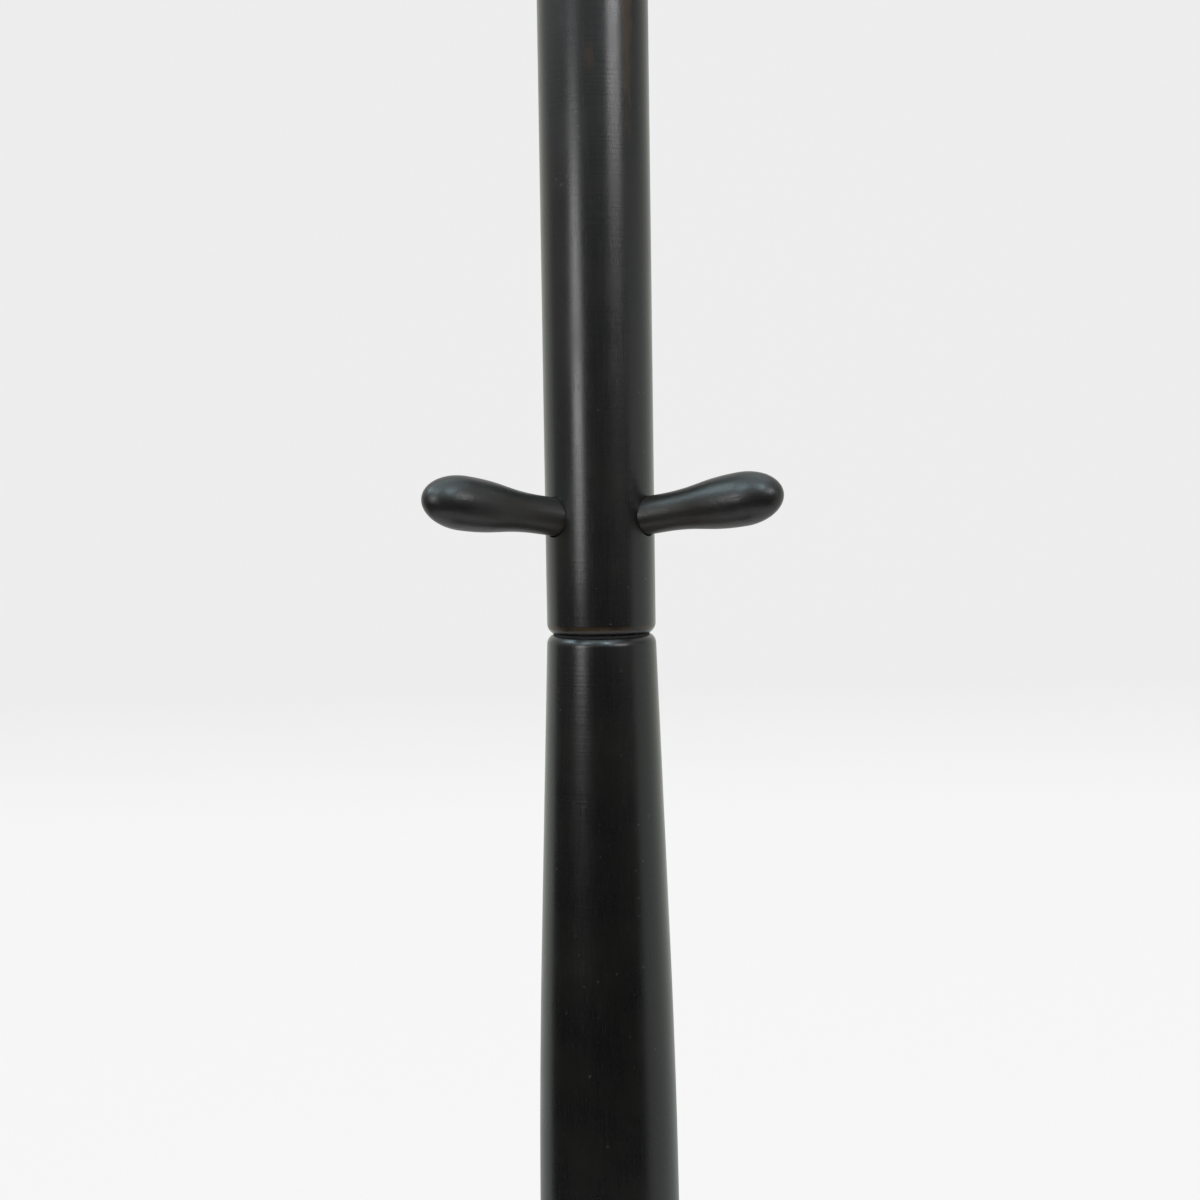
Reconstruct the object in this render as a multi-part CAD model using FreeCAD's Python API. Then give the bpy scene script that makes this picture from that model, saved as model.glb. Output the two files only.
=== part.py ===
import FreeCAD, Part
import math
import os

from FreeCAD import Placement, Rotation, Vector

# Free-standing coat rack of black turned wood. A domed round base with a steel ballast plate
# carries a swelling trunk. A straight post screws onto the trunk with a steel stud, and holds
# three tiers of turned pegs and a domed cap.
# Millimetres, +Z up. The origin is on the floor, on the axis of the post.

# Rubber pad under the base
pad_thickness = 3.0
pad_margin = 5.0               # bare wood left between the pad and the half-round edge

# Base
base_radius = 195.0
base_height = 59.0             # wood alone, from the pad to the seat of the trunk
base_rim_radius = 12.0         # half-round edge
base_shoulder_angle = 66.0     # degrees, where the dome runs into the half-round edge
base_dome_start = 30.0         # length of the dome's tangent at the seat
base_dome_end = 50.0           # length of the dome's tangent at the edge
base_seat_fall = 8.0           # degrees, slope of the dome where it leaves the seat
seat_margin = 5.0              # flat seat left showing round the trunk's foot

# Ballast plate and its countersunk screws
ballast_radius = 120.0
ballast_thickness = 12.0
ballast_hole_radius = 20.0
ballast_sink = 0.5             # depth of the plate above the underside of the wood
screw_count = 6
screw_edge = 20.0              # from the plate's edge to the screw circle
screw_length = 30.0
screw_radius = 2.25
screw_head_radius = 4.6
screw_head_height = 2.6
screw_socket_width = 3.0       # across the flats of the hexagon socket
screw_socket_depth = 1.6

# Bolt that draws the trunk onto the base
bolt_radius = 5.0
bolt_head_width = 17.0         # across the flats
bolt_head_height = 6.4
bolt_reach = 20.0              # thread held by the insert
washer_radius = 11.0
washer_thickness = 2.0

# Trunk
trunk_length = 797.0           # from the seat to the screw joint
foot_radius = 28.0
tenon_radius = 18.0
tenon_length = 14.0
belly_radius = 37.1
belly_drop = 350.0             # from the screw joint down to the widest place
cone_length = 165.0            # straight cone under the screw joint

# Rounded ends of the turned sections, which make the open groove at the joints
trunk_end_height = 4.7
trunk_end_inset = 2.4
post_end_height = 5.4          # of the post and the cap
post_end_inset = 2.9

# Threaded inserts and stud
insert_wall = 2.6
foot_insert_length = 25.0
joint_insert_length = 34.0
flange_width = 3.6             # of the joint insert, beyond its barrel
flange_thickness = 2.0
stud_radius = 6.0
stud_in_post = 35.0
thread_pitch = 1.75
engaged_turns = 14
joint_washer_inset = 0.35      # from the edge of the post's flat end
joint_washer_thickness = 1.1   # sets the open gap between trunk and post

# Post and cap
post_diameter = 56.5
post_length = 858.9
cap_side = 17.6                # straight side of the cap, between its rounded end and its dome
dome_height = 38.0
dowel_radius = 8.0
dowel_in_post = 30.0
dowel_in_cap = 28.0

# Pegs, measured along their axis from the side of the post
peg_tilt = 8.25                # degrees above level
pegs_per_tier = 3
peg_reach = 73.6
peg_shank_diameter = 19.6
peg_waist_diameter = 19.5
peg_waist_out = 8.0
peg_bulb_diameter = 27.0
peg_bulb_out = 52.3
peg_handle_share = 0.48        # of the swelling's length, for the tangents at its two ends
peg_end_chamfer = 1.0
socket_wall = 6.0              # wood left between the inner ends of one tier's sockets
lower_tier_rise = 56.5         # from the bottom of the post
middle_tier_drop = 165.0       # from the top of the post
upper_tier_drop = 55.0
lower_tier_turn = 90.0         # degrees from +X to the first peg
middle_tier_turn = 30.0
upper_tier_turn = 90.0

# Clearances
glue_gap = 0.1                 # round a glued dowel, insert or stud
tenon_gap = 0.3                # round the trunk's tenon
socket_gap = 0.45              # round a peg
thread_gap = 0.2               # between a screw thread and its nut thread
plate_gap = 0.5                # round the ballast plate, and round plain bolt holes
end_gap = 0.5                  # left at the bottom of a blind hole

# Derived sizes
post_radius = post_diameter / 2
base_bottom = pad_thickness
base_top = base_bottom + base_height
trunk_top = base_top + trunk_length
post_bottom = trunk_top + joint_washer_thickness
post_top = post_bottom + post_length
cap_top = post_top + post_end_height + cap_side + dome_height
base_flat_radius = base_radius - base_rim_radius
seat_radius = foot_radius + seat_margin
plate_bottom = base_bottom + ballast_sink
plate_top = plate_bottom + ballast_thickness
tenon_bottom = base_top - tenon_length
foot_insert_radius = bolt_radius + thread_gap + insert_wall
joint_insert_radius = stud_radius + thread_gap + insert_wall
flange_radius = joint_insert_radius + flange_width
joint_washer_radius = post_radius - post_end_inset - joint_washer_inset
engaged_length = engaged_turns * thread_pitch
stud_bottom = trunk_top - engaged_length
socket_radius = peg_shank_diameter / 2 + socket_gap
peg_sector = math.pi / pegs_per_tier
peg_inner_end = (socket_radius * math.cos(peg_sector) + socket_wall / 2) / math.sin(peg_sector)


def point(radius, height):
    return Vector(radius, 0, height)


def line(start, end):
    return Part.LineSegment(start, end).toShape()


def bezier(*poles):
    curve = Part.BezierCurve()
    curve.setPoles(list(poles))
    return curve.toShape()


def rounded_end(side, height, inset):
    """Arc from the side of a turned section, up or down by this height, to the edge of its flat end."""
    arc_radius = (height ** 2 + inset ** 2) / (2 * inset)
    half_angle = math.asin(height / arc_radius) / 2
    middle = side + point(arc_radius * math.cos(half_angle) - arc_radius, arc_radius * math.sin(half_angle))
    return Part.Arc(side, middle, side + point(-inset, height)).toShape()


def dome(radius, level, top):
    """Quarter ellipse from the axis at the top down to the side at this level."""
    ellipse = Part.Ellipse(point(0, top), point(radius, level), point(0, level))
    return Part.ArcOfEllipse(ellipse, 0, math.pi / 2).toShape()


def turned(edges):
    """Solid of revolution about Z from a closed outline in the XZ plane."""
    wire = Part.Wire(Part.__sortEdges__(edges))
    return Part.Face(wire).revolve(Vector(0, 0, 0), Vector(0, 0, 1), 360)


def disc(radius, bottom, top):
    return Part.makeCylinder(radius, top - bottom, Vector(0, 0, bottom))


def ring(outer, inner, bottom, top):
    return disc(outer, bottom, top).cut(disc(inner, bottom, top))


def hexagon(width, bottom, top):
    """Hexagonal prism on the axis, with this width across its flats."""
    sides = 6
    corner_radius = width / 2 / math.cos(math.pi / sides)
    corners = []
    for step in range(sides + 1):
        angle = 2 * math.pi * step / sides
        corners.append(Vector(corner_radius * math.cos(angle), corner_radius * math.sin(angle), bottom))
    return Part.Face(Part.makePolygon(corners)).extrude(Vector(0, 0, top - bottom))


def around(shape, radius, count):
    """Copies of a shape, moved out from the axis and spaced evenly round it."""
    copies = []
    for step in range(count):
        turn = Rotation(Vector(0, 0, 1), 360.0 * step / count)
        copy = shape.copy()
        copy.Placement = Placement(turn.multVec(Vector(radius, 0, 0)), turn)
        copies.append(copy)
    return copies


def floor_pad():
    """Rubber that covers the ballast plate, open in the middle for a spanner on the bolt."""
    return ring(base_flat_radius - pad_margin, ballast_hole_radius, 0, pad_thickness)


def ballast_screw():
    """One countersunk screw, head down and level with the underside of the plate."""
    head = Part.makeCone(screw_head_radius, screw_radius, screw_head_height, Vector(0, 0, plate_bottom))
    shank = disc(screw_radius, plate_bottom, plate_bottom + screw_length)
    socket = hexagon(screw_socket_width, plate_bottom, plate_bottom + screw_socket_depth)
    return head.fuse(shank).removeSplitter().cut(socket)


def screw_hole():
    """Space for one ballast screw with its clearance."""
    grown_head = screw_head_radius + glue_gap
    grown_shank = screw_radius + glue_gap
    head = Part.makeCone(grown_head, grown_shank, screw_head_height, Vector(0, 0, plate_bottom))
    shank = disc(grown_shank, plate_bottom, plate_bottom + screw_length + end_gap)
    return head.fuse(shank)


def ballast_screws():
    return Part.makeCompound(around(ballast_screw(), ballast_radius - screw_edge, screw_count))


def ballast_plate():
    plate = ring(ballast_radius, ballast_hole_radius, plate_bottom, plate_top)
    return plate.cut(around(screw_hole(), ballast_radius - screw_edge, screw_count))


def base_disc():
    rim_centre = point(base_flat_radius, base_bottom + base_rim_radius)
    shoulder = math.radians(base_shoulder_angle)
    outward = point(math.cos(shoulder), math.sin(shoulder))
    inward = point(-math.sin(shoulder), math.cos(shoulder))
    rim_start = rim_centre + outward * base_rim_radius
    rim_side = rim_centre + point(base_rim_radius, 0)
    rim_end = rim_centre - point(0, base_rim_radius)
    seat_edge = point(seat_radius, base_top)
    fall = math.radians(base_seat_fall)
    seat_tangent = point(math.cos(fall), -math.sin(fall)) * base_dome_start
    edges = [
        line(point(0, base_bottom), rim_end),
        Part.Arc(rim_end, rim_side, rim_start).toShape(),
        bezier(rim_start, rim_start + inward * base_dome_end, seat_edge + seat_tangent, seat_edge),
        line(seat_edge, point(0, base_top)),
        line(point(0, base_top), point(0, base_bottom)),
    ]
    body = turned(edges)
    plate_recess = disc(ballast_radius + plate_gap, base_bottom, plate_top)
    tenon_socket = disc(tenon_radius + tenon_gap, tenon_bottom - end_gap, base_top)
    bolt_hole = disc(bolt_radius + plate_gap, base_bottom, base_top)
    screw_holes = around(screw_hole(), ballast_radius - screw_edge, screw_count)
    return body.cut([plate_recess, tenon_socket, bolt_hole] + screw_holes)


def base_washer():
    return ring(washer_radius, bolt_radius + thread_gap, plate_top - washer_thickness, plate_top)


def base_bolt():
    head_top = plate_top - washer_thickness
    head = hexagon(bolt_head_width, head_top - bolt_head_height, head_top)
    shank = disc(bolt_radius, head_top, tenon_bottom + bolt_reach)
    return head.fuse(shank).removeSplitter()


def foot_insert():
    inner = bolt_radius + thread_gap
    return ring(foot_insert_radius, inner, tenon_bottom, tenon_bottom + foot_insert_length)


def trunk():
    taper_run = cone_length + (belly_drop - cone_length) / 2
    taper = (belly_radius - post_radius) / taper_run
    cone_top = point(post_radius + taper * trunk_end_height, trunk_top - trunk_end_height)
    cone_foot = point(post_radius + taper * cone_length, trunk_top - cone_length)
    belly = point(belly_radius, trunk_top - belly_drop)
    foot = point(foot_radius, base_top + trunk_end_height)
    edges = [
        line(point(0, tenon_bottom), point(tenon_radius, tenon_bottom)),
        line(point(tenon_radius, tenon_bottom), point(tenon_radius, base_top)),
        line(point(tenon_radius, base_top), point(foot_radius - trunk_end_inset, base_top)),
        rounded_end(foot, -trunk_end_height, trunk_end_inset),
        bezier(foot, point(belly_radius, (foot.z + belly.z) / 2), belly),
        bezier(belly, point(belly_radius, trunk_top - taper_run), cone_foot),
        line(cone_foot, cone_top),
        rounded_end(cone_top, trunk_end_height, trunk_end_inset),
        line(point(cone_top.x - trunk_end_inset, trunk_top), point(0, trunk_top)),
        line(point(0, trunk_top), point(0, tenon_bottom)),
    ]
    foot_hole_top = tenon_bottom + max(foot_insert_length, bolt_reach) + end_gap
    foot_hole = disc(foot_insert_radius + glue_gap, tenon_bottom, foot_hole_top)
    joint_hole_bottom = trunk_top - max(joint_insert_length, engaged_length) - end_gap
    joint_hole = disc(joint_insert_radius + glue_gap, joint_hole_bottom, trunk_top)
    flange_recess = disc(flange_radius + glue_gap, trunk_top - flange_thickness, trunk_top)
    return turned(edges).cut([foot_hole, joint_hole, flange_recess])


def joint_insert():
    inner = stud_radius + thread_gap
    barrel = ring(joint_insert_radius, inner, trunk_top - joint_insert_length, trunk_top)
    flange = ring(flange_radius, inner, trunk_top - flange_thickness, trunk_top)
    return barrel.fuse(flange).removeSplitter()


def joint_washer():
    return ring(joint_washer_radius, stud_radius + thread_gap, trunk_top, post_bottom)


def joint_stud():
    return disc(stud_radius, stud_bottom, post_bottom + stud_in_post)


def peg_place(level, turn):
    """Placement that lays the Z axis along a peg, from the axis of the post outwards."""
    tilt = math.radians(peg_tilt)
    angle = math.radians(turn)
    across = math.cos(tilt)
    way = Vector(across * math.cos(angle), across * math.sin(angle), math.sin(tilt))
    return Placement(Vector(0, 0, level), Rotation(Vector(0, 0, 1), way))


def peg():
    """Turned peg on Z: a straight shank, a slim waist and an egg-shaped end."""
    shank = peg_shank_diameter / 2
    waist = peg_waist_diameter / 2
    bulb = peg_bulb_diameter / 2
    waist_at = post_radius + peg_waist_out
    bulb_at = post_radius + peg_bulb_out
    handle = peg_handle_share * (bulb_at - waist_at)
    tip = post_radius + peg_reach
    root_bend = (post_radius + waist_at) / 2
    edges = [
        line(point(0, peg_inner_end), point(shank - peg_end_chamfer, peg_inner_end)),
        line(point(shank - peg_end_chamfer, peg_inner_end), point(shank, peg_inner_end + peg_end_chamfer)),
        line(point(shank, peg_inner_end + peg_end_chamfer), point(shank, post_radius)),
        bezier(point(shank, post_radius), point(waist, root_bend), point(waist, waist_at)),
        bezier(point(waist, waist_at), point(waist, waist_at + handle),
               point(bulb, bulb_at - handle), point(bulb, bulb_at)),
        dome(bulb, bulb_at, tip),
        line(point(0, tip), point(0, peg_inner_end)),
    ]
    return turned(edges)


def peg_places():
    """Placement of every peg under the name of its node, tier by tier."""
    tiers = [
        ("lower_peg", post_bottom + lower_tier_rise, lower_tier_turn),
        ("middle_peg", post_top - middle_tier_drop, middle_tier_turn),
        ("upper_peg", post_top - upper_tier_drop, upper_tier_turn),
    ]
    places = {}
    for name, level, first_turn in tiers:
        for number in range(pegs_per_tier):
            turn = first_turn + 360.0 * number / pegs_per_tier
            places[f"{name}_{number + 1}"] = peg_place(level, turn)
    return places


def post():
    lower_side = point(post_radius, post_bottom + post_end_height)
    upper_side = point(post_radius, post_top - post_end_height)
    end_radius = post_radius - post_end_inset
    edges = [
        line(point(0, post_bottom), point(end_radius, post_bottom)),
        rounded_end(lower_side, -post_end_height, post_end_inset),
        line(lower_side, upper_side),
        rounded_end(upper_side, post_end_height, post_end_inset),
        line(point(end_radius, post_top), point(0, post_top)),
        line(point(0, post_top), point(0, post_bottom)),
    ]
    stud_hole = disc(stud_radius + glue_gap, post_bottom, post_bottom + stud_in_post + end_gap)
    dowel_hole = disc(dowel_radius + glue_gap, post_top - dowel_in_post - end_gap, post_top)
    holes = [stud_hole, dowel_hole]
    socket = disc(socket_radius, peg_inner_end, post_radius + peg_reach)
    for place in peg_places().values():
        hole = socket.copy()
        hole.Placement = place
        holes.append(hole)
    return turned(edges).cut(holes)


def cap_dowel():
    return disc(dowel_radius, post_top - dowel_in_post, post_top + dowel_in_cap)


def top_cap():
    side_bottom = point(post_radius, post_top + post_end_height)
    side_top = point(post_radius, cap_top - dome_height)
    end_radius = post_radius - post_end_inset
    edges = [
        line(point(0, post_top), point(end_radius, post_top)),
        rounded_end(side_bottom, -post_end_height, post_end_inset),
        line(side_bottom, side_top),
        dome(post_radius, side_top.z, cap_top),
        line(point(0, cap_top), point(0, post_top)),
    ]
    dowel_hole = disc(dowel_radius + glue_gap, post_top, post_top + dowel_in_cap + end_gap)
    return turned(edges).cut(dowel_hole)


nodes = {
    "floor_pad": floor_pad(),
    "ballast_plate": ballast_plate(),
    "ballast_screws": ballast_screws(),
    "base_disc": base_disc(),
    "base_washer": base_washer(),
    "base_bolt": base_bolt(),
    "foot_insert": foot_insert(),
    "trunk": trunk(),
    "joint_insert": joint_insert(),
    "joint_washer": joint_washer(),
    "joint_stud": joint_stud(),
    "post": post(),
    "cap_dowel": cap_dowel(),
    "top_cap": top_cap(),
}
for name, place in peg_places().items():
    placed_peg = peg()
    placed_peg.Placement = place
    nodes[name] = placed_peg

os.makedirs("parts", exist_ok=True)
for name, shape in nodes.items():
    shape.exportStep(f"parts/{name}.step")
    print(f"{name}: {len(shape.Solids)} solids, {shape.Volume / 1000:.1f} cm3, valid {shape.isValid()}")
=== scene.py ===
import math

import bmesh
import bpy
from mathutils import Matrix, Vector
from mathutils.geometry import interpolate_bezier


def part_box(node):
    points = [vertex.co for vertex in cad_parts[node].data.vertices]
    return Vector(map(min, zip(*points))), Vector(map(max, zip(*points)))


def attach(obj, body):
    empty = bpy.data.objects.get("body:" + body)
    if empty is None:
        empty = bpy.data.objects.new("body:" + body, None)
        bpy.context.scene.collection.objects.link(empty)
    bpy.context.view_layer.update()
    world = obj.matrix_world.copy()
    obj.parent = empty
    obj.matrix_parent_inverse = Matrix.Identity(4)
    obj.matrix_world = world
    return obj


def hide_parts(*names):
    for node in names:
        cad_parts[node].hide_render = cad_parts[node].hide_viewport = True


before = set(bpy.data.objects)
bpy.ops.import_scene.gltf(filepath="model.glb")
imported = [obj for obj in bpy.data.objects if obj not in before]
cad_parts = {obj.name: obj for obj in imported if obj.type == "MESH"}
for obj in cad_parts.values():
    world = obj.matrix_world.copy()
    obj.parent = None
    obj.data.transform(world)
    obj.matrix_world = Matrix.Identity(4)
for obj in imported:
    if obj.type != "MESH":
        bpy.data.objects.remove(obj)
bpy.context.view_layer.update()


# Floor pad
# A disc of black rubber sheet glued to the underside of the base. It hides the ballast
# screws, and a round hole in its middle lets a spanner reach the base bolt.
def new_material(name):
    material = bpy.data.materials.new(name)
    material.use_nodes = True
    tree = material.node_tree
    return material, tree, tree.nodes["Principled BSDF"]


def add_node(tree, kind, **settings):
    node = tree.nodes.new(kind)
    for setting, value in settings.items():
        setattr(node, setting, value)
    return node


def noise(tree, coordinates, scale, detail=3.0, roughness=0.5):
    texture = add_node(tree, "ShaderNodeTexNoise")
    texture.inputs["Scale"].default_value = scale
    texture.inputs["Detail"].default_value = detail
    texture.inputs["Roughness"].default_value = roughness
    tree.links.new(coordinates, texture.inputs["Vector"])
    return texture.outputs["Fac"]


def blend_colour(tree, factor, first, second):
    node = add_node(tree, "ShaderNodeMix", data_type="RGBA")
    tree.links.new(factor, node.inputs["Factor"])
    for socket, colour in ((node.inputs["A"], first), (node.inputs["B"], second)):
        if isinstance(colour, tuple):
            socket.default_value = (*colour, 1.0)
        else:
            tree.links.new(colour, socket)
    return node.outputs["Result"]


def add_bump(tree, shader, height, strength, depth):
    node = add_node(tree, "ShaderNodeBump")
    node.inputs["Strength"].default_value = strength
    node.inputs["Distance"].default_value = depth
    tree.links.new(height, node.inputs["Height"])
    tree.links.new(node.outputs["Normal"], shader.inputs["Normal"])


def repaint(node_name, material):
    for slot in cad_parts[node_name].material_slots:
        slot.material = material


pad_rubber, tree, shader = new_material("pad_rubber")
place = add_node(tree, "ShaderNodeTexCoord").outputs["Object"]
pad_mottle = noise(tree, place, scale=220.0, detail=4.0)
pad_colour = blend_colour(tree, pad_mottle, (0.012, 0.012, 0.013), (0.030, 0.030, 0.031))
tree.links.new(pad_colour, shader.inputs["Base Color"])
shader.inputs["Roughness"].default_value = 0.78
add_bump(tree, shader, noise(tree, place, scale=1500.0, detail=2.0), strength=0.35, depth=0.0003)
repaint("floor_pad", pad_rubber)


# Base
# A thick disc of beech, turned to a low dome with a half-round edge, stained black and
# lacquered satin. Its underside is recessed for the ballast, its top bored for the trunk.
def remap(tree, value, low, high, to_low, to_high, eased=False):
    node = add_node(tree, "ShaderNodeMapRange", clamp=True)
    if eased:
        node.interpolation_type = "SMOOTHSTEP"
    tree.links.new(value, node.inputs["Value"])
    sockets = ("From Min", "From Max", "To Min", "To Max")
    for socket, number in zip(sockets, (low, high, to_low, to_high)):
        node.inputs[socket].default_value = number
    return node.outputs["Result"]


def combine(tree, operation, first, second):
    """Arithmetic on two values, each a number or another node's result."""
    node = add_node(tree, "ShaderNodeMath", operation=operation)
    for socket, value in zip(node.inputs, (first, second)):
        if isinstance(value, float):
            socket.default_value = value
        else:
            tree.links.new(value, socket)
    return node.outputs["Value"]


def stretched(tree, coordinates, scale):
    node = add_node(tree, "ShaderNodeMapping")
    node.inputs["Scale"].default_value = scale
    tree.links.new(coordinates, node.inputs["Vector"])
    return node.outputs["Vector"]


def curve(start, start_handle, end_handle, end, count):
    """Points along one smooth curve of a turned outline, from its ends and their handles."""
    corners = [Vector((*corner, 0.0)) for corner in (start, start_handle, end_handle, end)]
    return [(point.x, point.y) for point in interpolate_bezier(*corners, count)]


def turn(name, outline, steps, close=True):
    """Spin an outline of (radius, height) points round Z, as on a lathe."""
    shape = bmesh.new()
    ring = [shape.verts.new((max(radius, 0.0), 0.0, height)) for radius, height in outline]
    edges = [shape.edges.new(pair) for pair in zip(ring, ring[1:])]
    if close:
        edges.append(shape.edges.new((ring[-1], ring[0])))
    bmesh.ops.spin(shape, geom=ring + edges, cent=(0, 0, 0), axis=(0, 0, 1),
                   angle=2 * math.pi, steps=steps, use_merge=True)
    return finished(name, shape)


def finished(name, shape):
    """Merge the seams of a bmesh, turn its faces outwards and link it as an object."""
    bmesh.ops.remove_doubles(shape, verts=shape.verts, dist=1e-6)
    bmesh.ops.recalc_face_normals(shape, faces=shape.faces)
    mesh = bpy.data.meshes.new(name)
    shape.to_mesh(mesh)
    shape.free()
    piece = bpy.data.objects.new(name, mesh)
    bpy.context.scene.collection.objects.link(piece)
    return piece


def smooth(piece, angle=30.0):
    piece.data.shade_smooth()
    piece.data.set_sharp_from_angle(angle=math.radians(angle))


def mark_grain(piece, offset, turned=None):
    """Store where each point sat in the blank, with the grain along Z and its own offset."""
    grain = piece.data.attributes.new("grain_place", "FLOAT_VECTOR", "POINT")
    for vertex, entry in zip(piece.data.vertices, grain.data):
        local = vertex.co if turned is None else turned @ vertex.co
        entry.vector = local + Vector(offset)


WORN_DARK = (0.027, 0.0145, 0.0045)
WORN_LIGHT = (0.055, 0.029, 0.007)
STAIN_DARK = Vector((0.0047, 0.0047, 0.0044))
STAIN_LIGHT = Vector((0.0063, 0.0063, 0.0059))
STAIN_MOTTLE = Vector((0.0080, 0.0070, 0.0055))
DUST = (0.11, 0.11, 0.10)
SATIN = (0.23, 0.33)
LACQUER_IOR = 1.47
WORN_ROUGHER = 0.10
DULL_ROUGHER = 0.05
PORES_ROUGHER = 0.12
GRAIN_BUMP = 0.08
GRAIN_DEPTH = 0.0001


def black_stain(name, smoothest, roughest, find_wear=None, find_dull=None,
                fade=1.0, grain=1.0, ripple=0.0, rings=0.0):
    """Black-stained beech under satin lacquer: fibres, open pores, mottle, dust, wear and tool marks."""
    material, tree, shader = new_material(name)
    blank = add_node(tree, "ShaderNodeAttribute", attribute_name="grain_place").outputs["Vector"]
    fibres = noise(tree, stretched(tree, blank, (1.0, 1.0, 0.04)), scale=700.0, detail=5.0, roughness=0.6)
    dashes = noise(tree, stretched(tree, blank, (1.0, 1.0, 0.09)), scale=1100.0, detail=1.0)
    pores = remap(tree, dashes, 0.62, 0.70, 0.0, 1.0)
    mottle = noise(tree, blank, scale=28.0, detail=4.0, roughness=0.55)
    stain = blend_colour(tree, fibres, tuple(STAIN_DARK * fade), tuple(STAIN_LIGHT * fade))
    cloudy = remap(tree, mottle, 0.45, 0.75, 0.0, 0.6)
    stain = blend_colour(tree, cloudy, stain, tuple(STAIN_MOTTLE * fade))
    specks = noise(tree, blank, scale=430.0, detail=0.0)
    dust = remap(tree, specks, 0.82, 0.88, 0.0, 0.35)
    stain = blend_colour(tree, dust, stain, DUST)
    sheen = combine(tree, "ADD", combine(tree, "MULTIPLY", fibres, 0.5), mottle)
    finish = remap(tree, sheen, 0.45, 1.05, smoothest, roughest)
    if find_wear:
        worn = find_wear(tree)
        stain = blend_colour(tree, worn, stain, blend_colour(tree, fibres, WORN_DARK, WORN_LIGHT))
        finish = combine(tree, "ADD", finish, combine(tree, "MULTIPLY", worn, WORN_ROUGHER))
    if find_dull:
        finish = combine(tree, "ADD", finish, combine(tree, "MULTIPLY", find_dull(tree), DULL_ROUGHER))
    finish = combine(tree, "ADD", finish, combine(tree, "MULTIPLY", pores, PORES_ROUGHER * grain))
    tree.links.new(stain, shader.inputs["Base Color"])
    tree.links.new(finish, shader.inputs["Roughness"])
    shader.inputs["IOR"].default_value = LACQUER_IOR
    height = combine(tree, "SUBTRACT", fibres, pores)
    if ripple:
        waves = noise(tree, blank, scale=340.0, detail=2.0)
        height = combine(tree, "ADD", height, combine(tree, "MULTIPLY", waves, ripple))
    if rings:
        marks = noise(tree, stretched(tree, blank, (0.04, 0.04, 1.0)), scale=900.0, detail=0.0)
        height = combine(tree, "ADD", height, combine(tree, "MULTIPLY", marks, rings))
    add_bump(tree, shader, height, GRAIN_BUMP * grain, GRAIN_DEPTH)
    return material


base_low, base_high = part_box("base_disc")
plate_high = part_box("ballast_plate")[1]
trunk_low, trunk_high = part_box("trunk")
EDGE_RADIUS = 0.012
EDGE_STEPS = 16
SEAT_RADIUS = 0.033
TENON_RADIUS = 0.018
TENON_GAP = 0.0003
PLATE_GAP = 0.0005
END_GAP = 0.0005
BOLT_HOLE_RADIUS = 0.0055
SHOULDER_ANGLE = math.radians(66.0)
SHOULDER_HANDLE = 0.050
SEAT_FALL = math.radians(8.0)
SEAT_HANDLE = 0.030
DOME_POINTS = 40
BASE_STEPS = 256
edge_centre = Vector((base_high.x - EDGE_RADIUS, base_low.z + EDGE_RADIUS))
edge_points = []
for step in range(EDGE_STEPS + 1):
    angle = -math.pi / 2 + (SHOULDER_ANGLE + math.pi / 2) * step / EDGE_STEPS
    edge_points.append((edge_centre.x + EDGE_RADIUS * math.cos(angle),
                        edge_centre.y + EDGE_RADIUS * math.sin(angle)))
shoulder = edge_points[-1]
shoulder_handle = (shoulder[0] - SHOULDER_HANDLE * math.sin(SHOULDER_ANGLE),
                   shoulder[1] + SHOULDER_HANDLE * math.cos(SHOULDER_ANGLE))
seat = (SEAT_RADIUS, base_high.z)
seat_handle = (seat[0] + SEAT_HANDLE * math.cos(SEAT_FALL), seat[1] - SEAT_HANDLE * math.sin(SEAT_FALL))
dome_points = curve(shoulder, shoulder_handle, seat_handle, seat, DOME_POINTS)
recess_radius = plate_high.x + PLATE_GAP
socket_radius = TENON_RADIUS + TENON_GAP
socket_floor = trunk_low.z - END_GAP
base = turn("base_turned", [
    (BOLT_HOLE_RADIUS, plate_high.z), (recess_radius, plate_high.z), (recess_radius, base_low.z),
    *edge_points, *dome_points[1:],
    (socket_radius, base_high.z), (socket_radius, socket_floor), (BOLT_HOLE_RADIUS, socket_floor)],
    BASE_STEPS)
smooth(base)
mark_grain(base, (0.4, 0.1, 0.0), Matrix.Rotation(math.radians(90.0), 3, "Y"))
base.data.materials.append(black_stain("base_black_stain", *SATIN))
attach(base, "stand")
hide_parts("base_disc")


# Ballast plate and its screws
# A round steel plate let into the underside of the base and held by countersunk screws.
# The plate has a rough coat of black primer, the screws are zinc-plated.
primer, tree, shader = new_material("ballast_primer")
place = add_node(tree, "ShaderNodeTexCoord").outputs["Object"]
patches = noise(tree, place, scale=40.0, detail=5.0, roughness=0.6)
primer_colour = blend_colour(tree, patches, (0.022, 0.022, 0.024), (0.048, 0.047, 0.046))
tree.links.new(primer_colour, shader.inputs["Base Color"])
tree.links.new(remap(tree, patches, 0.3, 0.7, 0.48, 0.70), shader.inputs["Roughness"])
add_bump(tree, shader, noise(tree, place, scale=900.0, detail=3.0), strength=0.3, depth=0.0002)
repaint("ballast_plate", primer)


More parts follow.
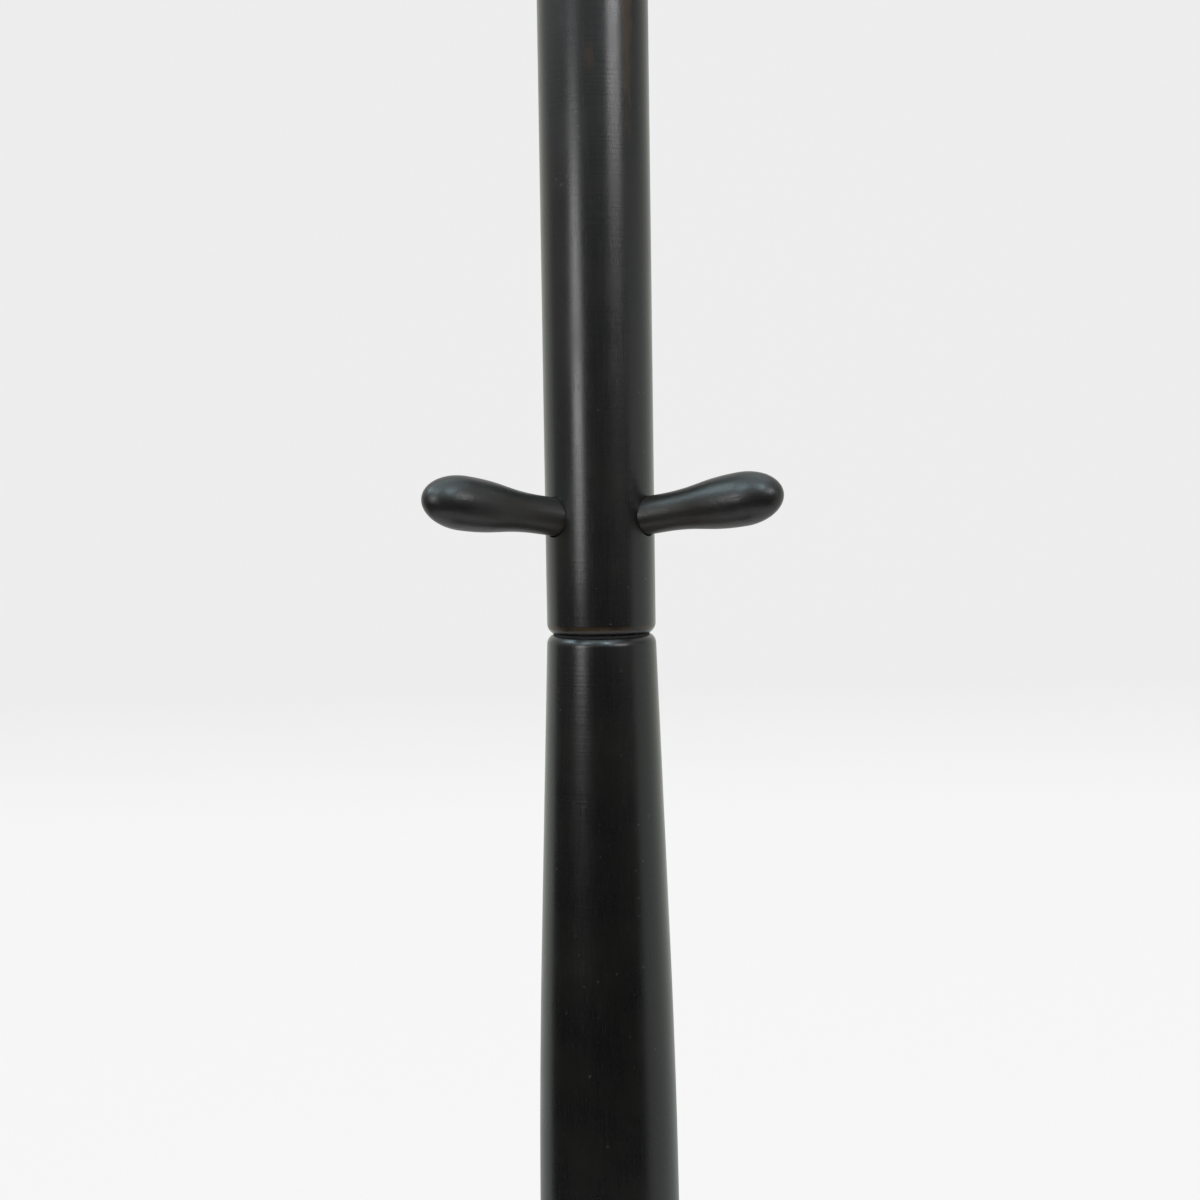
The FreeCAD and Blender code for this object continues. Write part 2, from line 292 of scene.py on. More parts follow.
def bright_metal(name, dark, light, finish):
    """Machined metal with a faint cloud in its plating and fine tool marks."""
    material, tree, shader = new_material(name)
    place = add_node(tree, "ShaderNodeTexCoord").outputs["Object"]
    cloud = noise(tree, place, scale=180.0, detail=4.0, roughness=0.6)
    tree.links.new(blend_colour(tree, cloud, dark, light), shader.inputs["Base Color"])
    shader.inputs["Metallic"].default_value = 1.0
    tree.links.new(remap(tree, cloud, 0.3, 0.7, finish - 0.06, finish + 0.08), shader.inputs["Roughness"])
    marks = noise(tree, stretched(tree, place, (0.3, 0.3, 6.0)), scale=900.0, detail=2.0)
    add_bump(tree, shader, marks, strength=0.15, depth=0.00005)
    return material


zinc = bright_metal("zinc_plate", dark=(0.52, 0.53, 0.52), light=(0.68, 0.68, 0.65), finish=0.34)
repaint("ballast_screws", zinc)


# Base bolt, its washer and the insert in the trunk's foot
# A hexagon bolt goes up through the base and draws the trunk down by a brass insert
# that is screwed and glued into the tenon.
brass = bright_metal("insert_brass", dark=(0.60, 0.42, 0.17), light=(0.76, 0.57, 0.27), finish=0.30)
for name in ("base_bolt", "base_washer"):
    repaint(name, zinc)
repaint("foot_insert", brass)


# Trunk
# One turned piece of beech: a straight cone under the joint that eases into a belly and
# narrows again to the foot. Both ends are rounded, and a tenon goes down into the base.
FOOT_RADIUS = 0.028
BELLY_DROP = 0.350
CONE_LENGTH = 0.165
TRUNK_END_HEIGHT = 0.0047
TRUNK_END_INSET = 0.0024
FLANGE_RADIUS = 0.0125
FLANGE_DEPTH = 0.0020
INSERT_HOLE_RADIUS = 0.0089
INSERT_HOLE_DEPTH = 0.0345
FOOT_HOLE_RADIUS = 0.0079
FOOT_HOLE_DEPTH = 0.0255
FOOT_POINTS = 60
BELLY_POINTS = 40
TURN_STEPS = 192
post_low, post_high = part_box("post")
post_radius = post_high.x
belly_radius = trunk_high.x
joint_level = trunk_high.z
taper_run = CONE_LENGTH + (BELLY_DROP - CONE_LENGTH) / 2
taper = (belly_radius - post_radius) / taper_run
cone_top = (post_radius + taper * TRUNK_END_HEIGHT, joint_level - TRUNK_END_HEIGHT)
cone_foot = (post_radius + taper * CONE_LENGTH, joint_level - CONE_LENGTH)
belly = (belly_radius, joint_level - BELLY_DROP)
foot = (FOOT_RADIUS, base_high.z + TRUNK_END_HEIGHT)


def rounded_end(radius, level, rise, inset, count=8):
    """Points that round a turned side in by the inset, over the rise up or down to its flat end."""
    arc_radius = (rise ** 2 + inset ** 2) / (2 * inset)
    sweep = math.asin(rise / arc_radius)
    return [(radius - arc_radius * (1 - math.cos(sweep * step / count)),
             level + arc_radius * math.sin(sweep * step / count)) for step in range(count + 1)]


def eased_curve(start, corner, end, count):
    """Points on a curve that leaves its start, and reaches its end, pointing at one corner."""
    handles = [(point[0] + (corner[0] - point[0]) * 2 / 3, point[1] + (corner[1] - point[1]) * 2 / 3)
               for point in (start, end)]
    return curve(start, handles[0], handles[1], end, count)


cone_points = [(cone_foot[0] + (cone_top[0] - cone_foot[0]) * share,
                cone_foot[1] + (cone_top[1] - cone_foot[1]) * share) for share in (0.25, 0.5, 0.75)]
side = [
    *reversed(rounded_end(*foot, -TRUNK_END_HEIGHT, TRUNK_END_INSET)),
    *eased_curve(foot, (belly_radius, (foot[1] + belly[1]) / 2), belly, FOOT_POINTS)[1:],
    *eased_curve(belly, (belly_radius, joint_level - taper_run), cone_foot, BELLY_POINTS)[1:],
    *cone_points,
    *rounded_end(*cone_top, TRUNK_END_HEIGHT, TRUNK_END_INSET)]
trunk = turn("trunk_turned", [
    (0.0, trunk_low.z + FOOT_HOLE_DEPTH), (FOOT_HOLE_RADIUS, trunk_low.z + FOOT_HOLE_DEPTH),
    (FOOT_HOLE_RADIUS, trunk_low.z), (TENON_RADIUS, trunk_low.z), (TENON_RADIUS, base_high.z),
    *side,
    (FLANGE_RADIUS, joint_level), (FLANGE_RADIUS, joint_level - FLANGE_DEPTH),
    (INSERT_HOLE_RADIUS, joint_level - FLANGE_DEPTH),
    (INSERT_HOLE_RADIUS, joint_level - INSERT_HOLE_DEPTH), (0.0, joint_level - INSERT_HOLE_DEPTH)],
    TURN_STEPS, close=False)
smooth(trunk)
mark_grain(trunk, (1.3, 0.7, 0.0))
trunk.data.materials.append(black_stain("trunk_black_stain", *SATIN, grain=0.4, rings=8.0))
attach(trunk, "stand")
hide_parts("trunk")


# Joint insert and washer
# A flanged brass insert in the trunk takes the steel stud of the post. A black fibre
# washer between the two sections keeps the groove open.
repaint("joint_insert", brass)
fibre, tree, shader = new_material("washer_fibre")
place = add_node(tree, "ShaderNodeTexCoord").outputs["Object"]
flecks = noise(tree, place, scale=700.0, detail=4.0, roughness=0.7)
fibre_colour = blend_colour(tree, flecks, (0.008, 0.008, 0.008), (0.022, 0.021, 0.020))
tree.links.new(fibre_colour, shader.inputs["Base Color"])
shader.inputs["Roughness"].default_value = 0.85
add_bump(tree, shader, flecks, strength=0.3, depth=0.0002)
repaint("joint_washer", fibre)


# Joint stud
# A length of zinc-plated threaded rod glued into the post's lower end. Its thread is one
# ridge wound up the rod, and both ends are chamfered.
THREAD_PITCH = 0.00175
THREAD_DEPTH = 0.00107
STEPS_PER_TURN = 36
stud_low, stud_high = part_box("joint_stud")
thread_root = stud_high.x - THREAD_DEPTH
turns = math.ceil((stud_high.z - stud_low.z) / THREAD_PITCH) + 2
# Radius, and height as a share of the pitch.
ridge_outline = (
    (thread_root, 0.0), (thread_root, 0.25), (stud_high.x, 0.5625),
    (stud_high.x, 0.6875), (thread_root, 1.0))
shape = bmesh.new()
ridge = [shape.verts.new((radius, 0.0, stud_low.z + THREAD_PITCH * (share - 1)))
         for radius, share in ridge_outline]
ridge_edges = [shape.edges.new(pair) for pair in zip(ridge, ridge[1:])]
bmesh.ops.spin(shape, geom=ridge + ridge_edges, cent=(0, 0, 0), axis=(0, 0, 1),
               angle=2 * math.pi * turns, steps=STEPS_PER_TURN * turns,
               dvec=(0, 0, THREAD_PITCH / STEPS_PER_TURN))
bmesh.ops.remove_doubles(shape, verts=shape.verts, dist=1e-6)
for end, outwards in ((stud_low.z, -1.0), (stud_high.z, 1.0)):
    whole = shape.verts[:] + shape.edges[:] + shape.faces[:]
    cut = bmesh.ops.bisect_plane(shape, geom=whole, dist=1e-7, plane_co=(0, 0, end),
                                 plane_no=(0, 0, outwards), clear_outer=True)["geom_cut"]
    rim = [part for part in cut if isinstance(part, bmesh.types.BMEdge)]
    bmesh.ops.edgeloop_fill(shape, edges=rim)
for vertex in shape.verts:
    spread = vertex.co.xy.length
    allowed = thread_root + min(vertex.co.z - stud_low.z, stud_high.z - vertex.co.z)
    if spread > allowed:
        vertex.co.xy *= allowed / spread
stud = finished("stud_threaded", shape)
smooth(stud, angle=25.0)
stud.data.materials.append(zinc)
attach(stud, "upper")
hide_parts("joint_stud")


# Pegs
# Turned beech pegs, each a straight shank, a slim waist and an egg-shaped end. They are
# glued into blind sockets bored into the post and tilt up a little.
PEG_TILT = math.radians(8.25)
SHANK_RADIUS = 0.0098
SHANK_CHAMFER = 0.001
WAIST_RADIUS = 0.00975
BULB_RADIUS = 0.0135
WAIST_OUT = 0.0080
BULB_OUT = 0.0523
PEG_REACH = 0.0736
HANDLE_SHARE = 0.48
SOCKET_GAP = 0.00045
SOCKET_DROP = 0.0003
SOCKET_WALL = 0.006
PEGS_PER_TIER = 3
WAIST_POINTS = 12
BULB_POINTS = 32
TIP_POINTS = 28
PEG_STEPS = 96
PEG_SATIN = (0.31, 0.43)
# The level of each tier, and the azimuth of its first peg in degrees.
PEG_TIERS = {
    "lower_peg": (post_low.z + 0.0565, 90.0),
    "middle_peg": (post_high.z - 0.165, 30.0),
    "upper_peg": (post_high.z - 0.055, 90.0),
}


def quarter_dome(radius, level, top, count):
    """Points from the side at this level over a quarter ellipse to the axis at the top."""
    angles = [math.pi / 2 * step / count for step in range(count + 1)]
    return [(radius * math.cos(angle), level + (top - level) * math.sin(angle)) for angle in angles]


half_turn = math.pi / PEGS_PER_TIER
bore_radius = SHANK_RADIUS + SOCKET_GAP
socket_floor_out = (bore_radius * math.cos(half_turn) + SOCKET_WALL / 2) / math.sin(half_turn)
waist = (WAIST_RADIUS, post_radius + WAIST_OUT)
bulb = (BULB_RADIUS, post_radius + BULB_OUT)
handle = HANDLE_SHARE * (bulb[1] - waist[1])
peg_outline = [
    (0.0, socket_floor_out), (SHANK_RADIUS - SHANK_CHAMFER, socket_floor_out),
    (SHANK_RADIUS, socket_floor_out + SHANK_CHAMFER),
    *eased_curve((SHANK_RADIUS, post_radius), (WAIST_RADIUS, (post_radius + waist[1]) / 2), waist,
                 WAIST_POINTS),
    *curve(waist, (waist[0], waist[1] + handle), (bulb[0], bulb[1] - handle), bulb, BULB_POINTS)[1:],
    *quarter_dome(BULB_RADIUS, bulb[1], post_radius + PEG_REACH, TIP_POINTS)[1:]]


def peg_wear(tree):
    """Faint brown streaks along the grain of a peg's shank, where the stain took less."""
    blank = add_node(tree, "ShaderNodeAttribute", attribute_name="grain_place").outputs["Vector"]
    along = add_node(tree, "ShaderNodeSeparateXYZ")
    tree.links.new(blank, along.inputs["Vector"])
    streaks = noise(tree, stretched(tree, blank, (1.0, 1.0, 0.06)), scale=420.0, detail=3.0, roughness=0.6)
    faint = remap(tree, streaks, 0.35, 0.70, 0.0, 0.18)
    near_post = remap(tree, along.outputs["Z"], 0.045, 0.080, 1.0, 0.15)
    return combine(tree, "MULTIPLY", faint, near_post)


peg_stain = black_stain("peg_black_stain", *PEG_SATIN, peg_wear, fade=2.0, ripple=18.0)
peg_places = {}
for tier, (level, first_turn) in PEG_TIERS.items():
    for number in range(PEGS_PER_TIER):
        angle = math.radians(first_turn + 360.0 / PEGS_PER_TIER * number)
        way = Vector((math.cos(angle) * math.cos(PEG_TILT), math.sin(angle) * math.cos(PEG_TILT),
                      math.sin(PEG_TILT)))
        spot = Matrix.Translation((0.0, 0.0, level)) @ way.to_track_quat("Z", "Y").to_matrix().to_4x4()
        peg_places[f"{tier}_{number + 1}"] = spot
for number, (node_name, spot) in enumerate(peg_places.items()):
    peg = turn(node_name + "_turned", peg_outline, PEG_STEPS, close=False)
    smooth(peg)
    mark_grain(peg, (0.21 * number, 0.13 * number, 0.0))
    peg.data.transform(spot)
    peg.data.materials.append(peg_stain)
    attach(peg, "upper")
    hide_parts(node_name)


# Post
# A straight turned post with rounded ends, bored for the stud, the cap's dowel and the pegs.
# The stain has worn to brown along the lower edge and in two streaks, and one mark is dull.
POST_END_HEIGHT = 0.0054
POST_END_INSET = 0.0029
STUD_HOLE_RADIUS = 0.0061
STUD_HOLE_DEPTH = 0.0355
DOWEL_HOLE_RADIUS = 0.0081
DOWEL_HOLE_DEPTH = 0.0305
SOCKET_RINGS = (-0.020, -0.012, -0.004, 0.004, 0.012, 0.020)
stud_hole_top = post_low.z + STUD_HOLE_DEPTH
dowel_hole_floor = post_high.z - DOWEL_HOLE_DEPTH
tier_levels = [level for level, first_turn in PEG_TIERS.values()]
post_rings = [level + rise for level in tier_levels for rise in SOCKET_RINGS]
post_rings.append(sum(tier_levels[:2]) / 2)
post = turn("post_turned", [
    (0.0, stud_hole_top), (STUD_HOLE_RADIUS, stud_hole_top), (STUD_HOLE_RADIUS, post_low.z),
    *reversed(rounded_end(post_radius, post_low.z + POST_END_HEIGHT, -POST_END_HEIGHT, POST_END_INSET)),
    *[(post_radius, level) for level in sorted(post_rings)],
    *rounded_end(post_radius, post_high.z - POST_END_HEIGHT, POST_END_HEIGHT, POST_END_INSET),
    (DOWEL_HOLE_RADIUS, post_high.z), (DOWEL_HOLE_RADIUS, dowel_hole_floor), (0.0, dowel_hole_floor)],
    TURN_STEPS, close=False)
drills = bmesh.new()
for spot in peg_places.values():
    drill = turn("drill", [
        (0.0, socket_floor_out), (bore_radius, socket_floor_out),
        (bore_radius, 2 * post_radius), (0.0, 2 * post_radius)], PEG_STEPS, close=False)
    drill.data.transform(Matrix.Translation((0.0, 0.0, -SOCKET_DROP)) @ spot)
    drills.from_mesh(drill.data)
    bpy.data.objects.remove(drill)
drill_set = finished("drill_set", drills)
bore = post.modifiers.new("bore", "BOOLEAN")
bore.operation = "DIFFERENCE"
bore.solver = "EXACT"
bore.object = drill_set
bored = bpy.data.meshes.new_from_object(post.evaluated_get(bpy.context.evaluated_depsgraph_get()))
post.modifiers.remove(bore)
post.data = bored
bpy.data.objects.remove(drill_set)
smooth(post)
mark_grain(post, (2.1, 1.7, 0.0))


def worn_patch(tree, place, ragged, azimuth, level, half_width, half_height):
    """A patch on the post's side, one in its middle and nought past a ragged edge."""
    turned = math.radians(azimuth)
    middle = (post_radius * math.cos(turned), post_radius * math.sin(turned), level)
    node = add_node(tree, "ShaderNodeMapping")
    scale = (1 / half_width, 1 / half_width, 1 / half_height)
    node.inputs["Scale"].default_value = scale
    node.inputs["Location"].default_value = [-share * centre for share, centre in zip(scale, middle)]
    tree.links.new(place, node.inputs["Vector"])
    reach = add_node(tree, "ShaderNodeVectorMath", operation="LENGTH")
    tree.links.new(node.outputs["Vector"], reach.inputs[0])
    edge = combine(tree, "ADD", reach.outputs["Value"], ragged)
    return remap(tree, edge, 0.35, 1.15, 1.0, 0.0, True)


# Azimuth in degrees, level, half width and half height in metres, and for a streak its strength.
WORN_STREAKS = (
    (304.4, 1.172, 0.0053, 0.095, 1.0),
    (263.2, 1.1463, 0.0042, 0.0120, 0.50),
)
DULL_MARK = (241.0, 1.0060, 0.0150, 0.0255)


def post_wear(tree):
    """A patchy brown line on the lower rounding, one long streak, one short one and a few specks."""
    place = add_node(tree, "ShaderNodeTexCoord").outputs["Object"]
    height = add_node(tree, "ShaderNodeSeparateXYZ")
    tree.links.new(place, height.inputs["Vector"])
    rise = combine(tree, "SUBTRACT", height.outputs["Z"], post_low.z)
    line = combine(tree, "MULTIPLY", remap(tree, rise, 0.0017, 0.0030, 0.0, 1.0, True),
                   remap(tree, rise, 0.0040, 0.0054, 1.0, 0.0, True))
    patchy = noise(tree, stretched(tree, place, (1.0, 1.0, 2.0)), scale=95.0, detail=4.0, roughness=0.6)
    worn = combine(tree, "MULTIPLY", line, remap(tree, patchy, 0.38, 0.62, 0.30, 0.90, True))
    fibrous = noise(tree, stretched(tree, place, (1.0, 1.0, 0.12)), scale=900.0, detail=3.0, roughness=0.6)
    ragged = remap(tree, fibrous, 0.25, 0.75, 0.0, 0.7)
    for azimuth, level, half_width, half_height, strength in WORN_STREAKS:
        patch = worn_patch(tree, place, ragged, azimuth, level, half_width, half_height)
        worn = combine(tree, "MAXIMUM", worn, combine(tree, "MULTIPLY", patch, strength))
    specks = noise(tree, place, scale=260.0, detail=1.0)
    return combine(tree, "MAXIMUM", worn, remap(tree, specks, 0.80, 0.84, 0.0, 0.5))


def post_dull(tree):
    """A dull patch on the lacquer, as a touched-up mark leaves."""
    place = add_node(tree, "ShaderNodeTexCoord").outputs["Object"]
    cloudy = noise(tree, place, scale=160.0, detail=3.0, roughness=0.6)
    ragged = remap(tree, cloudy, 0.25, 0.75, 0.0, 0.4)
    return worn_patch(tree, place, ragged, *DULL_MARK)


post.data.materials.append(black_stain("post_black_stain", *SATIN, post_wear, post_dull,
                                       fade=1.45, grain=0.35, rings=9.0))
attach(post, "upper")
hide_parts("post")


# Cap
# A turned domed cap with the same rounded lower end as the post, glued on a beech dowel
# that goes down into the post.
DOME_HEIGHT = 0.038
CAP_HOLE_RADIUS = 0.0081
CAP_HOLE_DEPTH = 0.0285
CAP_DOME_POINTS = 36
cap_low, cap_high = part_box("top_cap")
cap_hole_top = cap_low.z + CAP_HOLE_DEPTH
cap = turn("cap_turned", [
    (0.0, cap_hole_top), (CAP_HOLE_RADIUS, cap_hole_top), (CAP_HOLE_RADIUS, cap_low.z),
    *reversed(rounded_end(post_radius, cap_low.z + POST_END_HEIGHT, -POST_END_HEIGHT, POST_END_INSET)),
    *quarter_dome(post_radius, cap_high.z - DOME_HEIGHT, cap_high.z, CAP_DOME_POINTS)],
    TURN_STEPS, close=False)
smooth(cap)
mark_grain(cap, (3.7, 0.2, 0.0))
cap.data.materials.append(black_stain("cap_black_stain", *SATIN))
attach(cap, "upper")
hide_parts("top_cap")
beech, tree, shader = new_material("dowel_beech")
place = add_node(tree, "ShaderNodeTexCoord").outputs["Object"]
beech_grain = noise(tree, stretched(tree, place, (1.0, 1.0, 0.04)), scale=1200.0, detail=4.0)
beech_colour = blend_colour(tree, beech_grain, (0.42, 0.27, 0.15), (0.60, 0.43, 0.27))
tree.links.new(beech_colour, shader.inputs["Base Color"])
shader.inputs["Roughness"].default_value = 0.62
repaint("cap_dowel", beech)


# Studio
# A pale floor that curves up into a pale wall, a soft lamp on each side and cool lamps above.
# Only reflections see the black card in front and the grey one round the sides and back.
VIEW_TURN = math.radians(267.71)
joint_middle = (trunk_high.z + post_low.z) / 2


def around_view(angle, distance, height):
    """A point round the post, by its angle to the right of the camera as the post sees it."""
    turned = VIEW_TURN + math.radians(angle)
    return Vector((distance * math.cos(turned), distance * math.sin(turned), height))


def backdrop_rays(tree):
    """One for rays that show the backdrop, straight, mirrored or through glass, nought for others."""
    path = add_node(tree, "ShaderNodeLightPath")
    mirrored = combine(tree, "MAXIMUM", path.outputs["Is Glossy Ray"],
                       path.outputs["Is Transmission Ray"])
    return combine(tree, "MAXIMUM", path.outputs["Is Camera Ray"], mirrored)


PAPER_GLOW = 0.88
PAPER_FLOOR = (1.0, 1.0, 1.0)
PAPER_WALL = (0.918, 0.918, 0.918)
PAPER_BLEND = 0.34
PAPER_FADE_START = 3.0
PAPER_FADE_END = 6.0
SHADOW_NEAR = 0.55
SHADOW_FAR = 1.15
SHADOW_FILL = 0.45
paper, tree, shader = new_material("pale_paper")
tree.nodes.remove(shader)
place = add_node(tree, "ShaderNodeSeparateXYZ")
tree.links.new(add_node(tree, "ShaderNodeTexCoord").outputs["Object"], place.inputs["Vector"])
rise = remap(tree, place.outputs["Z"], 0.0, PAPER_BLEND, 0.0, 1.0)
sideways = combine(tree, "ABSOLUTE", place.outputs["X"], 0.0)
forwards = combine(tree, "MULTIPLY", place.outputs["Y"], -1.0)
outwards = combine(tree, "MAXIMUM", sideways, forwards)
faded = remap(tree, outwards, PAPER_FADE_START, PAPER_FADE_END, 0.0, 1.0)
paper_colour = blend_colour(tree, combine(tree, "MAXIMUM", rise, faded), PAPER_FLOOR, PAPER_WALL)
lit = add_node(tree, "ShaderNodeBsdfDiffuse")
glow = add_node(tree, "ShaderNodeEmission")
tree.links.new(paper_colour, lit.inputs["Color"])
tree.links.new(paper_colour, glow.inputs["Color"])
reach = add_node(tree, "ShaderNodeVectorMath", operation="LENGTH")
tree.links.new(add_node(tree, "ShaderNodeTexCoord").outputs["Object"], reach.inputs[0])
distant = remap(tree, reach.outputs["Value"], SHADOW_NEAR, SHADOW_FAR, 0.0, 1.0, True)
shown = backdrop_rays(tree)
mixer = add_node(tree, "ShaderNodeMixShader")
glow_share = combine(tree, "MULTIPLY", distant, PAPER_GLOW)
tree.links.new(combine(tree, "MULTIPLY", shown, glow_share), mixer.inputs["Fac"])
tree.links.new(lit.outputs["BSDF"], mixer.inputs[1])
tree.links.new(glow.outputs["Emission"], mixer.inputs[2])
fill = add_node(tree, "ShaderNodeEmission")
near_share = remap(tree, distant, 0.0, 1.0, SHADOW_FILL, 0.0)
tree.links.new(combine(tree, "MULTIPLY", shown, near_share), fill.inputs["Strength"])
both = add_node(tree, "ShaderNodeAddShader")
tree.links.new(mixer.outputs["Shader"], both.inputs[0])
tree.links.new(fill.outputs["Emission"], both.inputs[1])
tree.links.new(both.outputs["Shader"], tree.nodes["Material Output"].inputs["Surface"])

FLOOR_HALF_WIDTH = 9.0
FLOOR_FRONT = -6.0
CURVE_START = 3.5
CURVE_RADIUS = 0.6
CURVE_STEPS = 12
WALL_TOP = 6.0
sweep = [(FLOOR_FRONT, 0.0), (CURVE_START, 0.0)]
for step in range(1, CURVE_STEPS + 1):
    angle = math.pi / 2 * step / CURVE_STEPS
    sweep.append((CURVE_START + CURVE_RADIUS * math.sin(angle), CURVE_RADIUS * (1 - math.cos(angle))))
sweep.append((CURVE_START + CURVE_RADIUS, WALL_TOP))
shape = bmesh.new()
left_edge = [shape.verts.new((-FLOOR_HALF_WIDTH, y, z)) for y, z in sweep]
edges = [shape.edges.new(pair) for pair in zip(left_edge, left_edge[1:])]
pulled = bmesh.ops.extrude_edge_only(shape, edges=edges)["geom"]
moved = [part for part in pulled if isinstance(part, bmesh.types.BMVert)]
bmesh.ops.translate(shape, verts=moved, vec=(2 * FLOOR_HALF_WIDTH, 0.0, 0.0))
pale_sweep = finished("pale_sweep", shape)
pale_sweep.data.shade_smooth()
pale_sweep.data.materials.append(paper)

CARD_DISTANCE = 3.6
CARD_FLOOR_START = 0.9
CARD_FOOT = 0.004
CARD_LEFT = -109.0
CARD_RIGHT = 68.0
CARD_STEPS = 40
EDGE_HAZE_START = 0.95
EDGE_HAZE_END = 1.147
BLACK_CARD_TOP = 2.08
GREY_CARD_TOP = 3.0
BLACK = (0.0, 0.0, 0.0)
HAZE = (1.0, 1.01, 0.97)
SIDE_GREY = (0.735, 0.785, 0.760)
HIGH_GREY = (0.43, 0.46, 0.45)
FLOOR_GREY = (0.60, 0.645, 0.625)
BACK_WHITE = (0.97, 1.0, 0.92)


def round_card(name, start, end, top):
    """A card for reflections only, round the rack, with its foot laid inwards on the floor."""
    shape = bmesh.new()
    profile = [shape.verts.new(around_view(start, distance, height)) for distance, height in (
        (CARD_FLOOR_START, CARD_FOOT), (CARD_DISTANCE, CARD_FOOT), (CARD_DISTANCE, top))]
    edges = [shape.edges.new(pair) for pair in zip(profile, profile[1:])]
    bmesh.ops.spin(shape, geom=profile + edges, cent=(0, 0, 0), axis=(0, 0, 1),
                   angle=math.radians(end - start), steps=CARD_STEPS)
    card = finished(name, shape)
    card.visible_camera = False
    card.visible_diffuse = False
    card.visible_shadow = False
    material, tree, shader = new_material(name)
    shader.inputs["Base Color"].default_value = (*BLACK, 1.0)
    shader.inputs["Specular IOR Level"].default_value = 0.0
    shader.inputs["Emission Strength"].default_value = 1.0
    card.data.materials.append(material)
    place = add_node(tree, "ShaderNodeSeparateXYZ")
    tree.links.new(add_node(tree, "ShaderNodeTexCoord").outputs["Object"], place.inputs["Vector"])
    return tree, shader, place.outputs


tree, shader, place = round_card("black_card", CARD_LEFT, CARD_RIGHT, BLACK_CARD_TOP)
higher = remap(tree, place["Z"], 0.2, 1.3, 0.018, 0.135)
aside = remap(tree, combine(tree, "ABSOLUTE", place["X"], 0.0), 1.3, 3.4, 1.0, 2.8)
bearing = combine(tree, "ARCTAN2", place["X"], combine(tree, "MULTIPLY", place["Y"], -1.0))
near_right_edge = remap(tree, bearing, EDGE_HAZE_START, EDGE_HAZE_END, 0.0, 1.0)
near_foot = remap(tree, place["Z"], 0.0, 0.3, 0.14, 0.0)
haze = combine(tree, "ADD", combine(tree, "MULTIPLY", higher, aside),
               combine(tree, "MULTIPLY", near_right_edge, near_foot))
tree.links.new(blend_colour(tree, haze, BLACK, HAZE), shader.inputs["Emission Color"])
tree, shader, place = round_card("grey_card", CARD_RIGHT, CARD_LEFT + 360.0, GREY_CARD_TOP)
upwards = remap(tree, place["Z"], 1.43, 2.3, 0.0, 1.0)
side_grey = blend_colour(tree, upwards, SIDE_GREY, HIGH_GREY)
reach = add_node(tree, "ShaderNodeVectorMath", operation="LENGTH")
tree.links.new(add_node(tree, "ShaderNodeTexCoord").outputs["Object"], reach.inputs[0])
further = remap(tree, reach.outputs["Value"], 1.4, 2.6, 0.0, 1.0)
side_grey = blend_colour(tree, further, FLOOR_GREY, side_grey)
backwards = remap(tree, place["Y"], 0.65, 3.1, 0.0, 1.0)
card_grey = blend_colour(tree, backwards, side_grey, BACK_WHITE)
tree.links.new(card_grey, shader.inputs["Emission Color"])


def lamp(name, centre, target, width, height, radiance, colour):
    """A soft rectangular lamp of this radiance that points at its target."""
    light = bpy.data.lights.new(name, "AREA")
    light.shape = "RECTANGLE"
    light.size = width
    light.size_y = height
    light.energy = radiance * math.pi * width * height
    light.color = colour
    holder = bpy.data.objects.new(name, light)
    bpy.context.scene.collection.objects.link(holder)
    holder.location = centre
    holder.rotation_euler = (target - centre).to_track_quat("-Z", "Y").to_euler()
    return holder


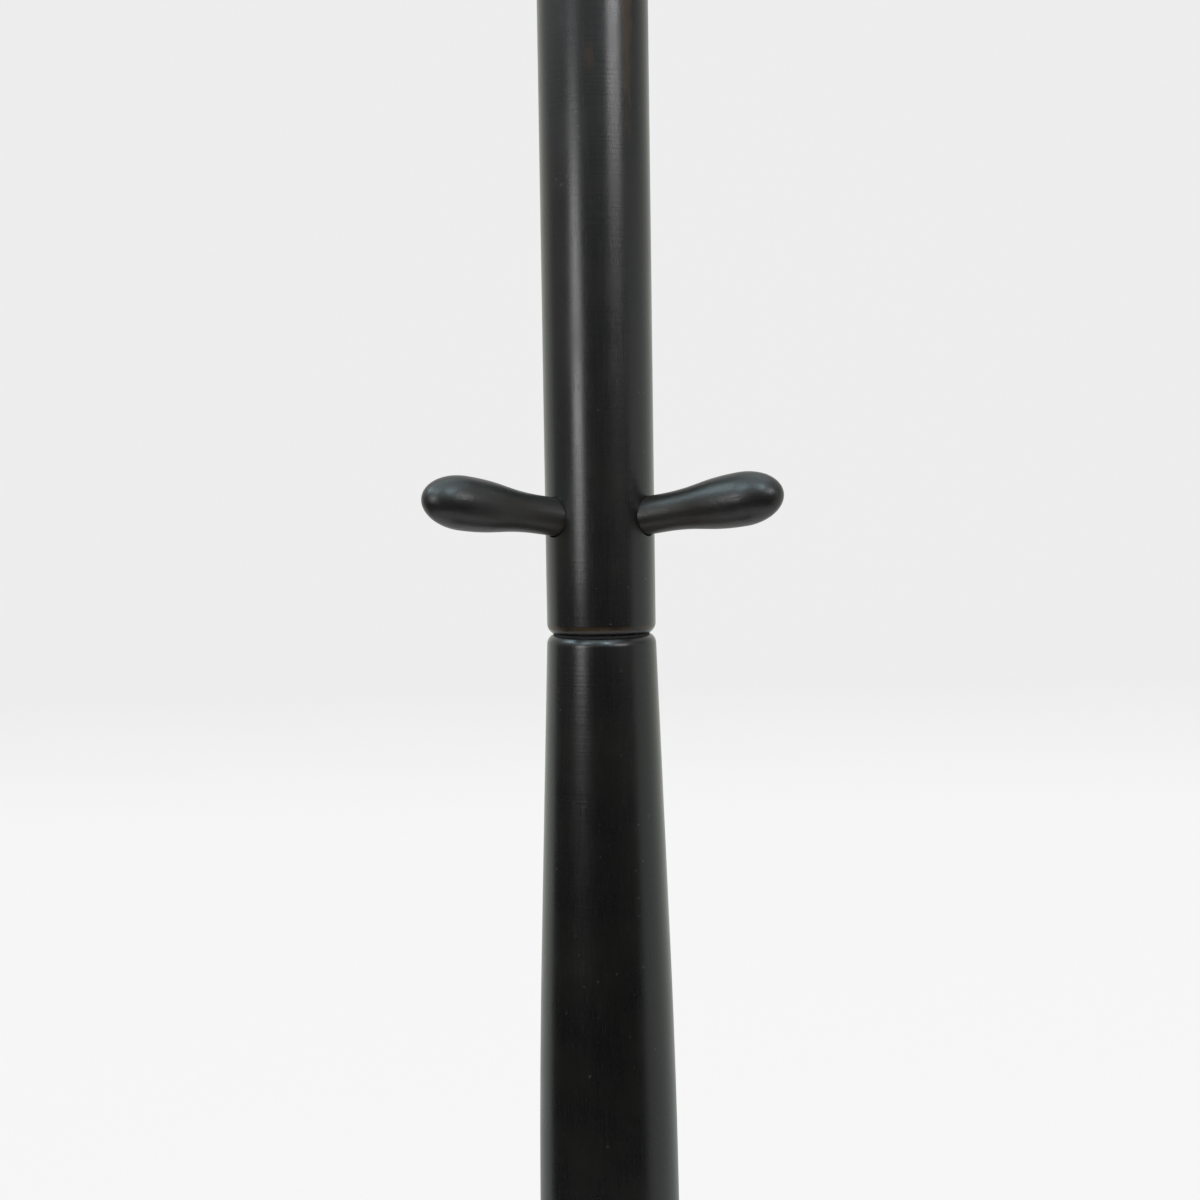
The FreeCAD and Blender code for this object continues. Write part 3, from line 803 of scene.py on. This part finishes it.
SOFT_WHITE = (0.98, 0.97, 1.0)
COOL_WHITE = (0.66, 0.90, 1.0)
STRIP_LEVEL = 1.155
RIGHT_AIM = 1.1
TOP_DISTANCE = 3.6
CEILING_ANGLE = -60.0
CEILING_OUT = 1.15
CEILING_HEIGHT = 3.1
lamp("left_strip", around_view(angle=-43.2, distance=1.6, height=STRIP_LEVEL),
     Vector((0, 0, STRIP_LEVEL)), width=0.50, height=0.62, radiance=7.5, colour=SOFT_WHITE)
lamp("right_high", around_view(angle=42.0, distance=3.2, height=2.29),
     Vector((0, 0, RIGHT_AIM)), width=1.44, height=0.64, radiance=11.0, colour=SOFT_WHITE)
for name, angle, height, width, length, radiance in (
        ("top_left", -84.0, 4.35, 2.0, 1.40, 6.4),
        ("top_middle", -40.0, 4.35, 0.44, 1.6, 18.0),
        ("top_right", 14.0, 4.60, 0.44, 1.8, 29.0)):
    top_lamp = lamp(name, around_view(angle, TOP_DISTANCE, height), Vector((0, 0, joint_middle)),
                    width, length, radiance, COOL_WHITE)
    top_lamp.visible_diffuse = False
ceiling = lamp("ceiling", around_view(CEILING_ANGLE, CEILING_OUT, CEILING_HEIGHT),
               around_view(CEILING_ANGLE, CEILING_OUT, 0.0),
               width=4.4, height=3.2, radiance=1.40, colour=COOL_WHITE)
ceiling.visible_diffuse = False

ROOM_LIGHT = 0.35
ROOM_GREY = (0.845, 0.845, 0.845)
world = bpy.data.worlds.new("pale_room")
bpy.context.scene.world = world
world.use_nodes = True
tree = world.node_tree
room = tree.nodes["Background"]
room.inputs["Color"].default_value = (*ROOM_GREY, 1.0)
tree.links.new(remap(tree, backdrop_rays(tree), 0.0, 1.0, ROOM_LIGHT, 1.0), room.inputs["Strength"])

CAMERA_DISTANCE = 0.79542
CAMERA_RISE = 0.06648
CAMERA_PITCH = math.radians(3.528)
CAMERA_YAW = math.radians(0.0396)
CAMERA_ROLL = math.radians(-0.84)
FOCAL_PIXELS = 1533.0
FRAME_PIXELS = 1200.0
camera_data = bpy.data.cameras.new("camera")
camera_data.sensor_width = 36.0
camera_data.lens = camera_data.sensor_width * FOCAL_PIXELS / FRAME_PIXELS
camera_data.clip_start = 0.01
camera = bpy.data.objects.new("camera", camera_data)
bpy.context.scene.collection.objects.link(camera)
camera.location = around_view(0.0, CAMERA_DISTANCE, joint_middle + CAMERA_RISE)
heading = Matrix.Rotation(VIEW_TURN + math.pi / 2 + CAMERA_YAW, 4, "Z")
dip = Matrix.Rotation(math.pi / 2 - CAMERA_PITCH, 4, "X")
camera.rotation_euler = (heading @ dip @ Matrix.Rotation(CAMERA_ROLL, 4, "Z")).to_euler()
bpy.context.scene.camera = camera
bpy.context.scene.view_settings.view_transform = "Standard"
